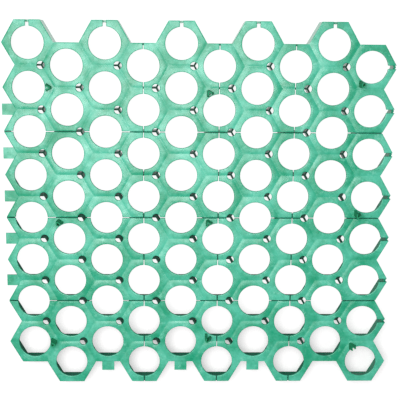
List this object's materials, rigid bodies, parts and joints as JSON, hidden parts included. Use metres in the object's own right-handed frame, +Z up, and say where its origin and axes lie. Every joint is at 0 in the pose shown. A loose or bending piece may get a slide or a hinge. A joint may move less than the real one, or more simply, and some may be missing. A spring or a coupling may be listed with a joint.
{
  "type": "plastic lawn grid tile",
  "caption": "Flat honeycomb tile of hexagonal cells with a perforated flange, ground spikes, expansion slits and coupling tongues, for lawn or gravel surfacing.",
  "frame": {"origin": "centre of the tile's box on the floor, under the open edges of the cell walls", "axes": "+Z up towards the flange and its ground spikes, +X along a row of staggered cells, +Y along a column of cells, from the tongues' end to the slots' end"},
  "size_m": [0.5604, 0.5308, 0.0485],
  "materials": {
    "green_plastic": "semi-matt moulded polyethylene"
  },
  "bodies": {
    "root": {"grid_tile": "green_plastic"}
  },
  "joints": []
}
